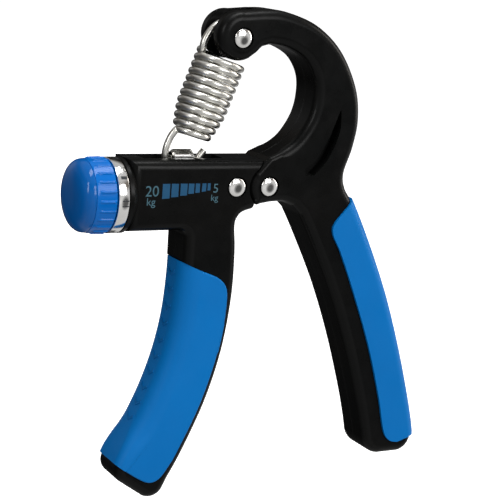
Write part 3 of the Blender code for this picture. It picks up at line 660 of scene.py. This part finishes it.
def grip_marks():
    """A row of small raised arrowheads down the front of the finger grip."""
    line = smooth([(x - PROUD, z) for x, z in LEVER_FRONT], 24)
    spaced = [line[0]]
    for point in line:
        if math.dist(point, spaced[-1]) >= MARK_SPACING:
            spaced.append(point)
    shape = [(-2.6, -0.2), (0.0, 1.5), (2.6, -0.2), (2.6, 0.9), (0.0, 2.7), (-2.6, 0.9)]
    across = Vector((0.0, 1.0, 0.0))
    bm = bmesh.new()
    for here, after in list(zip(spaced, spaced[1:]))[2:-1]:
        along = Vector((after[0] - here[0], 0.0, after[1] - here[1])).normalized()
        out = Vector((along.z, 0.0, -along.x))
        if out.x > 0:
            out = -out
        centre = Vector((here[0], 0.0, here[1]))
        low = [bm.verts.new(centre + across * a + along * b - out * 0.25) for a, b in shape]
        high = [bm.verts.new(centre + across * a * 0.88 + along * (0.45 + (b - 0.45) * 0.8) + out * 0.28)
                for a, b in shape]
        for i in range(6):
            j = (i + 1) % 6
            bm.faces.new((low[i], low[j], high[j], high[i]))
        bm.faces.new((high[0], high[1], high[4], high[5]))
        bm.faces.new((high[1], high[2], high[3], high[4]))
        bm.faces.new((low[5], low[4], low[1], low[0]))
        bm.faces.new((low[4], low[3], low[2], low[1]))
    add("front_grip_marks", mesh_from(bm, "front_grip_marks"), "lever", BLUE_MARKS)


# ---------------------------------------------------------------- hardware

def rivets():
    """Each rivet is a headed pin from the near side, pushed into a headed sleeve from the far side."""
    places = (("pivot_rivet", 0, 0, "rear_frame"), ("link_rivet", *LINK_RIVET, "lever"),
              ("spring_rivet", *SPRING_PIN, "rear_frame"))
    steps = [math.pi / 2 * i / 10 for i in range(11)]
    dome = [(RIVET_HEAD_R * math.cos(a), 8.2 + RIVET_DOME * math.sin(a)) for a in steps]
    dome[-1] = (0, dome[-1][1])
    pin = [(0, 6.4), (1.6, 6.4), (1.6, -7.9), (3.0, -7.9), (3.1, -8.0)] + [(r, -y) for r, y in dome]
    sleeve = [(0, 6.7), (1.9, 6.7), (1.9, -7.6), (2.4, -7.6), (2.4, 7.9), (3.0, 7.9), (3.1, 8.0)] + dome
    for name, x, z, body in places:
        for part, profile in (("_pin", pin), ("_sleeve", sleeve)):
            obj = add(name + part + "_look", lathe(name, profile, 64, "Y", (x, 0, z)), body, CHROME)
            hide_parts(name + part)


def wire(name, path, body=None):
    """Round wire along a path, its section kept from twisting."""
    sides = 20
    points = [Vector(p) for p in path]
    sections = []
    across = None
    count = len(points)
    for i, point in enumerate(points):
        along = points[min(i + 1, count - 1)] - points[max(i - 1, 0)]
        along.normalize()
        if across is None:
            across = along.orthogonal()
        across = across - along * across.dot(along)
        across.normalize()
        other = along.cross(across)
        turns = [2 * math.pi * k / sides for k in range(sides)]
        sections.append([tuple(point + (across * math.cos(t) + other * math.sin(t)) * WIRE_R) for t in turns])
    return add(name, mesh_of(name, sections), body, WIRE)


def coil_point(turn):
    """A point on the coil after that many turns from the top. The last turns close in on the hook."""
    down = (COIL_BOTTOM - COIL_TOP).normalized()
    across = Vector((0, 1, 0))
    side = across.cross(down)
    taper = max(0.0, turn - (COIL_TURNS - TAPER_TURNS)) / TAPER_TURNS
    radius = COIL_R + (COIL_END_R - COIL_R) * taper ** 1.4
    angle = 2 * math.pi * turn
    spot = COIL_TOP.lerp(COIL_BOTTOM, turn / COIL_TURNS)
    return spot + side * radius * math.cos(angle) + across * radius * math.sin(angle)


def spring():
    """Upper hook and first turn, coils, and lower hook: one wire in three lengths that always meet."""
    left = COIL_TURNS - 1
    first = [tuple(coil_point(i / TURN_STEPS)) for i in range(TURN_STEPS + 1)]
    rest = [tuple(coil_point(1 + left * i / (TURN_STEPS * left))) for i in range(TURN_STEPS * left + 1)]
    leg = [(x, 0.0, z) for x, z in arc(SPRING_PIN, 5.0, -35, 112, 16)]
    leg += [(-17.6, 0.0, 52.6), (-20.1, 0.0, 51.1), (-22.1, 0.0, 48.8), (-23.4, 0.0, 46.3)]
    hook = wire("spring_hook_look", smooth(leg + first[0:1], 4)[:-1] + first)
    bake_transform(hook)
    coils = wire("spring_coils_look", rest)
    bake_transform(coils)
    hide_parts("spring")
    foot = [rest[-1], (-31.9, -0.35, 17.3)]
    foot += [(x, 0.0, z) for x, z in ((-33.2, 15.2), (-34.4, 12.0), (-34.7, 9.0), (-34.3, 6.2), (-33.2, 4.3),
                                      (-31.2, 3.6), (-28.6, 3.5), (-25.8, 3.7), (-23.9, 5.4), (-22.9, 8.2),
                                      (-20.9, 11.0))]
    lower = wire("spring_foot_look", smooth(foot, 8), "spring_foot")
    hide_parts("spring_foot")


def pointed_hexagon(centre, radius):
    return arc(centre, radius, 30, 330, 5)


def anchor():
    """Long hexagon barrel with chamfered ends and a countersunk hole."""
    left, right = -32.8, -25.2
    ends = ((left, ANCHOR_END_R), (left + 0.45, ANCHOR_R), (right - 0.45, ANCHOR_R), (right, ANCHOR_END_R))
    rings = [[(x, y, ANCHOR_Z + z) for y, z in pointed_hexagon((0, 0), r)] for x, r in ends]
    barrel = add("barrel", mesh_of("barrel", rings))
    hole = [(0, -50), (2.1, -50), (2.1, left - 0.01), (1.5, left + 0.6), (1.5, right - 0.6),
            (2.1, right + 0.01), (2.1, -10), (0, -10)]
    boolean(barrel, lathe("hole", hole, 40, "X", (0, 0, ANCHOR_Z)))
    finish(barrel, "anchor_barrel_look", "slider", CHROME, 25)
    edge_bevel(barrel, 0.12, 25)
    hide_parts("anchor_barrel")


# ---------------------------------------------------------------- adjuster

def ribbed(radius, along, angle):
    """The knob's outer wall, swelling into a row of ribs that fade out before the dome."""
    if radius < 11.8 or along > KNOB_RIGHT - 0.3:
        return radius
    phase = (angle / (2 * math.pi) * RIB_COUNT) % 1.0
    away = min(phase, 1 - phase)
    ends = min(1.0, max(0.0, (along - KNOB_RIM - 1.1) / 0.8))
    return radius + RIB_HEIGHT * ends * max(0.0, 1 - (away / 0.17) ** 2)


def knob_shell():
    """The ribbed wall, with a web inside it that has a hexagon hole for the screw's head."""
    span = [KNOB_RIM + 0.5 + (KNOB_RIGHT - 0.55 - KNOB_RIM - 0.5) * i / 12 for i in range(13)]
    profile = [(11.6, KNOB_RIM), (11.74, KNOB_RIM + 0.05), (11.81, KNOB_RIM + 0.2)]
    profile += [(11.84 + 0.16 * i / 12, along) for i, along in enumerate(span)]
    profile += [(KNOB_R, KNOB_RIGHT - 0.2), (11.8, KNOB_RIGHT), (10.2, KNOB_RIGHT), (10.2, -57.8),
                (4.9, -57.8), (4.9, -55.9), (2.0, -55.9), (2.0, -59.6), (10.2, -59.6), (10.2, KNOB_RIM)]
    body = add("knob", lathe("knob", profile, RIB_COUNT * 18, "X", SCREW_AXIS, ribbed))
    hexagon = arc((0, 0), DRIVE_HEX_R, 0, 300, 5)
    boolean(body, mesh_of("drive", [[(x, y, z + AXIS_Z) for y, z in hexagon] for x in (-59.5, -50)]))
    finish(body, "knob_shell_look", "knob", BLUE_RIBS, 40)
    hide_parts("knob_shell")


def knob_cap():
    """A full, rather square dome over the front of the knob."""
    start = KNOB_RIM - 0.04
    outer = [(11.6, start), (11.72, start - 0.05)]
    for i in range(33):
        t = math.pi / 2 * i / 32
        outer.append((DOME_R * math.cos(t) ** 0.60 if i < 32 else 0, start - 0.2 - DOME_DEPTH * math.sin(t)))
    inner = [(0, -65.6), (6.0, -65.2), (8.4, -64.0), (8.6, -60.4), (9.9, -60.4), (9.9, start)]
    # The cap's darker blue is painted shade on the dome.
    cap = add("knob_cap_look", lathe("cap", inner + outer, 128, "X", SCREW_AXIS), "knob", BLUE_CAP_PAINTED_SHADE)
    cap.data.set_sharp_from_angle(angle=math.radians(50))
    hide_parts("knob_cap")


# Each mark's middle and width in degrees, and its two ends along the axis. The wide mark at 151 degrees is a
# painted dark reflection on the chrome.
RING_TICKS_AND_REFLECTION = [(53.6, 5.0, -53.9, -51.9), (88.8, 1.6, -53.9, -51.7), (96.9, 1.6, -53.9, -51.7),
              # The wide mark at 151 degrees is a painted dark reflection, not print.
              (151.0, 10.0, -54.9, -53.4), (12.0, 1.6, -53.9, -51.7), (200.0, 1.6, -53.9, -51.7),
              (235.0, 1.6, -53.9, -51.7), (270.0, 5.0, -53.9, -51.9), (305.0, 1.6, -53.9, -51.7)]
MARK_TOP_R = RING_R + 0.015
MARK_DEPTH = 0.06


def curved_mark(bm, from_x, to_x, middle, wide, radius):
    """A thin mark that lies on the ring, at an angle in degrees from the top towards the near side."""
    steps = 6
    low = radius - MARK_DEPTH
    corners = ((from_x, radius), (to_x, radius), (to_x, low), (from_x, low))
    rings = []
    for i in range(steps + 1):
        angle = math.radians(middle - wide / 2 + wide * i / steps)
        rings.append([(x, -r * math.sin(angle), AXIS_Z + r * math.cos(angle)) for x, r in corners])
    skin(bm, rings)


def ring():
    """The bright scale ring between housing and knob, with its marks and a painted dark reflection."""
    profile = [(9.6, -55.1), (11.95, -55.1), (12.12, -55.0), (RING_R, -54.8), (RING_R, -51.8), (12.12, -51.6),
               (11.95, -51.5), (9.6, -51.5)]
    band = add("scale_ring_look", lathe("ring", profile, 128, "X", SCREW_AXIS), "lever", CHROME)
    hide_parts("scale_ring")
    bm = bmesh.new()
    for middle, wide, start, end in RING_TICKS_AND_REFLECTION:
        curved_mark(bm, start, end, middle, wide, MARK_TOP_R)
    # The ring's ticks, with one wide mark that is a painted dark reflection.
    add("scale_ring_ticks_and_painted_reflection", mesh_from(bm, "ring_ticks_and_painted_reflection"), "lever", INK_BLACK_AND_PAINTED_REFLECTION)


# Each bar's left, right and bottom, then each figure's text, place and height.
SCALE_BARS = [(-38.8, -36.2, -3.2), (-35.65, -33.15, -2.75), (-32.5, -30.05, -2.3), (-29.65, -27.65, -1.75),
              (-27.15, -25.6, -1.45), (-24.85, -23.35, -1.1), (-22.85, -21.8, -0.75)]
SCALE_FIGURES = [("figure_20", "20", -44.8, -2.4, 4.9), ("unit_left", "kg", -44.2, -5.3, 3.5),
                 ("figure_5", "5", -20.9, -1.5, 4.2), ("unit_right", "kg", -21.5, -4.2, 3.0)]


def lettering(name, text, x, z, size, y):
    curve = bpy.data.curves.new(name, "FONT")
    curve.body = text
    curve.size = size
    curve.extrude = 0.006
    curve.resolution_u = 6
    obj = bpy.data.objects.new(name, curve)
    bpy.context.scene.collection.objects.link(obj)
    bpy.context.view_layer.update()
    mesh = bpy.data.meshes.new_from_object(obj.evaluated_get(bpy.context.evaluated_depsgraph_get()))
    bpy.data.objects.remove(obj)
    mesh.transform(Matrix.Translation((x, y, z)) @ Matrix.Rotation(math.pi / 2, 4, "X"))
    add("scale_" + name, mesh, "lever", INK_TEXT)


def scale_print():
    """Weight scale printed on the near side of the housing: shrinking bars between two figures."""
    y = -BODY_HALF - 0.012
    for i, (left, right, bottom) in enumerate(SCALE_BARS):
        corners = [(left, bottom - 0.06), (right, bottom + 0.06), (right, 1.55), (left, 1.6)]
        bar = prism("bar", corners, y, -BODY_HALF + 0.02)
        add(f"scale_bar_{i + 1}", bar, "lever", INK_BLUE)
    for name, text, x, z, size in SCALE_FIGURES:
        lettering(name, text, x, z, size, y)


def carried_over():
    """CAD nodes that stay, with a steel finish."""
    for name in ("hinge_link", "pivot_washer_near", "pivot_washer_far", "spring_bush", "thrust_washer",
                 "retaining_ring", "adjuster_screw", "slider_nut", "knob_screw"):
        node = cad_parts[name]
        for mslot in node.material_slots:
            mslot.material = STEEL
        if not node.material_slots:
            node.data.materials.append(STEEL)


# ---------------------------------------------------------------- stage

def stage():
    """A pale floor a little below the handles, that looks white and throws little light back."""
    half = 40.0
    low = -0.04
    corners = [(-half, -half, low), (half, -half, low), (half, half, low), (-half, half, low)]
    mesh = bpy.data.meshes.new("floor")
    mesh.from_pydata(corners, [], [(0, 1, 2, 3)])
    floor = bpy.data.objects.new("floor", mesh)
    bpy.context.scene.collection.objects.link(floor)
    made, tree, shader = new_material("floor")
    base = colours(tree, spread(tree, noise(tree, 3.0), 0.0, 1.0), (0.88, 0.88, 0.88), (0.92, 0.92, 0.92))
    tree.links.new(base.outputs["Result"], shader.inputs["Base Color"])
    shader.inputs["Roughness"].default_value = 0.9
    shader.inputs["Emission Color"].default_value = (1.0, 1.0, 1.0, 1.0)
    shader.inputs["Emission Strength"].default_value = 0.75
    mesh.materials.append(made)
    floor.visible_glossy = False
    floor.visible_diffuse = False


def area(name, place, target, size, power, colour=(1.0, 1.0, 1.0)):
    light = bpy.data.lights.new(name, "AREA")
    light.shape = "RECTANGLE"
    light.size, light.size_y = size
    light.energy = power
    light.color = colour
    obj = bpy.data.objects.new(name, light)
    bpy.context.scene.collection.objects.link(obj)
    obj.location = place
    obj.rotation_euler = (Vector(target) - Vector(place)).to_track_quat("-Z", "Y").to_euler()
    return obj


def lights():
    middle = (0.0, 0.0, 0.08)
    area("softbox_front", (0.25, -0.95, 0.55), middle, (0.6, 0.5), 6.2)
    area("softbox_left", (-0.85, -0.45, 0.55), middle, (0.18, 0.5), 2.1)
    area("softbox_top", (0.05, -0.10, 0.95), middle, (0.7, 0.25), 4.2)
    area("softbox_right", (0.85, -0.15, 0.35), middle, (0.2, 0.7), 2.4, (1.0, 0.94, 0.88))
    back = area("softbox_back", (0.0, 1.2, 0.15), middle, (0.5, 0.5), 5.0)
    back.visible_glossy = False


# The room: brightness and warmth by height, from straight down at 0 to straight up at 1.
ROOM_STOPS = ((0.30, 0.85, 1.0), (0.42, 0.95, 1.0), (0.52, 0.80, 1.0), (0.66, 0.70, 1.0), (0.74, 0.22, 0.72),
              (0.80, 0.26, 0.78), (0.88, 0.72, 1.0))
# Dark cloths in the room: direction, how much light is left, and where each one starts and is full.
DARK_CLOTHS = (((0.45, 0.87, 0.22), 0.06, 0.72, 0.92), ((0.49, -0.84, -0.22), 0.12, 0.93, 0.985),
               ((-0.84, 0.52, -0.15), 0.10, 0.62, 0.92), ((-0.83, -0.45, -0.15), 0.60, 0.78, 0.93),
               ((-0.1, 0.86, -0.5), 0.08, 0.78, 0.93))
ROOM_STRENGTH = 0.80


def room_colour(tree, coords):
    split = tree.nodes.new("ShaderNodeSeparateXYZ")
    ramp = tree.nodes.new("ShaderNodeValToRGB")
    tree.links.new(coords.outputs["Generated"], split.inputs["Vector"])
    height = spread(tree, split.outputs["Z"], 0.0, 1.0, -1.0, 1.0)
    tree.links.new(height, ramp.inputs["Fac"])
    stops = ramp.color_ramp.elements
    stops[0].position, stops[0].color = 0.0, (0.70, 0.70, 0.69, 1)
    stops[1].position, stops[1].color = 1.0, (0.62, 0.63, 0.65, 1)
    for where, level, warm in ROOM_STOPS:
        stop = stops.new(where)
        stop.color = (level, level * (0.5 + 0.5 * warm), level * warm, 1)
    return ramp.outputs["Color"]


def room_strength(tree, coords):
    strength = None
    for direction, dark, start, end in DARK_CLOTHS:
        toward = tree.nodes.new("ShaderNodeVectorMath")
        toward.operation = "DOT_PRODUCT"
        toward.inputs[1].default_value = Vector(direction).normalized()
        tree.links.new(coords.outputs["Generated"], toward.inputs[0])
        cloth = spread(tree, toward.outputs["Value"], 1.0, dark, start, end)
        both = tree.nodes.new("ShaderNodeMath")
        both.operation = "MULTIPLY"
        both.inputs[1].default_value = ROOM_STRENGTH
        tree.links.new(cloth, both.inputs[0])
        if strength:
            tree.links.new(strength, both.inputs[1])
        strength = both.outputs["Value"]
    return strength


def room():
    """A pale room that lights the object, and plain white where the camera sees past it."""
    world = bpy.data.worlds.new("studio")
    bpy.context.scene.world = world
    world.use_nodes = True
    tree = world.node_tree
    seen = tree.nodes["Background"]
    seen.inputs["Color"].default_value = (1.0, 1.0, 1.0, 1.0)
    seen.inputs["Strength"].default_value = 1.0
    around = tree.nodes.new("ShaderNodeBackground")
    coords = tree.nodes.new("ShaderNodeTexCoord")
    tree.links.new(room_colour(tree, coords), around.inputs["Color"])
    tree.links.new(room_strength(tree, coords), around.inputs["Strength"])
    path = tree.nodes.new("ShaderNodeLightPath")
    mix = tree.nodes.new("ShaderNodeMixShader")
    tree.links.new(path.outputs["Is Camera Ray"], mix.inputs["Fac"])
    tree.links.new(around.outputs["Background"], mix.inputs[1])
    tree.links.new(seen.outputs["Background"], mix.inputs[2])
    tree.links.new(mix.outputs["Shader"], tree.nodes["World Output"].inputs["Surface"])
    bpy.context.scene.view_settings.view_transform = "Standard"


def camera():
    """From the left and a little above, with a slight roll."""
    yaw, pitch, roll = math.radians(29.0), math.radians(12.0), math.radians(4.36)
    ahead = Vector((math.sin(yaw) * math.cos(pitch), math.cos(yaw) * math.cos(pitch), -math.sin(pitch)))
    level = Vector((math.cos(yaw), -math.sin(yaw), 0.0))
    upright = Vector((math.sin(yaw) * math.sin(pitch), math.cos(yaw) * math.sin(pitch), math.cos(pitch)))
    right = level * math.cos(roll) + upright * math.sin(roll)
    up = upright * math.cos(roll) - level * math.sin(roll)
    place = (PIVOT - ahead * 501.3 - right * 2.45 - up * 22.56) * MM
    lens = bpy.data.cameras.new("camera")
    lens.sensor_width = 36.0
    lens.lens = 108.0
    lens.clip_start = 0.01
    obj = bpy.data.objects.new("camera", lens)
    bpy.context.scene.collection.objects.link(obj)
    axes = Matrix((right, up, -ahead)).transposed()
    obj.matrix_world = Matrix.Translation(place) @ axes.to_4x4()
    bpy.context.scene.camera = obj


frame_shell()
lever_shell()
grip("rear_grip", palm_handle(), rear_zone(), "rear_frame")
grip("front_grip", finger_handle(), front_zone(), "lever")
grip_marks()
rivets()
spring()
anchor()
knob_shell()
knob_cap()
ring()
scale_print()
carried_over()
stage()
lights()
room()
camera()

bpy.context.view_layer.update()
